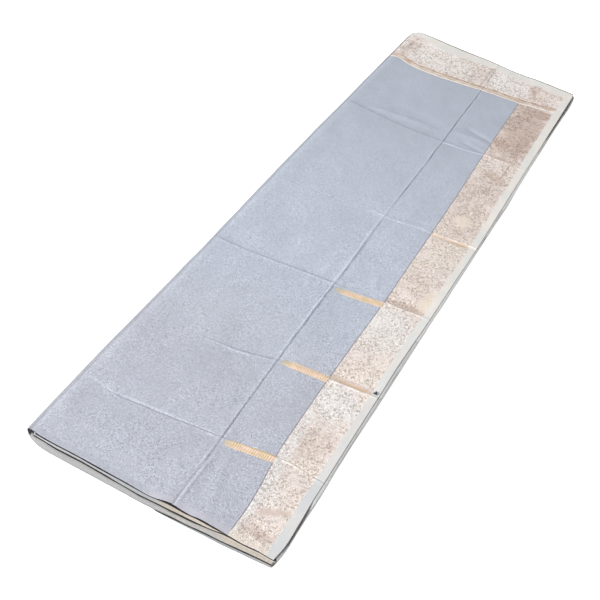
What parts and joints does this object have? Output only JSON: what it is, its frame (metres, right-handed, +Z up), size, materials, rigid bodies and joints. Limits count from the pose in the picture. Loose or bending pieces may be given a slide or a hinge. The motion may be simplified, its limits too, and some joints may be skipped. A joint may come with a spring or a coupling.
{
  "type": "folded saree",
  "caption": "Silk saree folded into a long flat stack, pale blue-grey body with cream zari end panel and border, fold on one long side and layered near edge.",
  "frame": {"origin": "bottom centre of the folded stack's bounding box, on the surface it rests on", "axes": "+Z up; +Y along the woven width, from the open near selvedge to the bordered selvedge; +X across, from the outer fold to the zari end"},
  "size_m": [0.3268, 1.1574, 0.0172],
  "materials": {
    "body_silk": "pale blue-grey slubby silk, soft sheen",
    "selvedge": "close pale selvedge weave, matte",
    "zari": "cream jacquard with metal thread, uneven sheen",
    "silver_strip": "plain silver-white weave, soft sheen",
    "gold_stripe": "orange-gold metal thread, ribbed",
    "inner_layers": "grey and beige edges of folded silk",
    "dark_thread": "dark navy knotted thread"
  },
  "bodies": {
    "root": {"ground": "body_silk", "near_selvedge": "selvedge", "end_zari_panel": "zari", "end_plain_strip": "silver_strip", "border_accent": "gold_stripe", "border_zari": "zari", "border_plain_selvedge": "silver_strip", "bar_near": "gold_stripe", "bar_mid": "gold_stripe", "bar_far": "gold_stripe", "second_stretch": "inner_layers", "third_stretch": "inner_layers", "hidden_layers": "inner_layers", "bottom_stretch": "body_silk", "thread_knot": "dark_thread"}
  },
  "joints": []
}
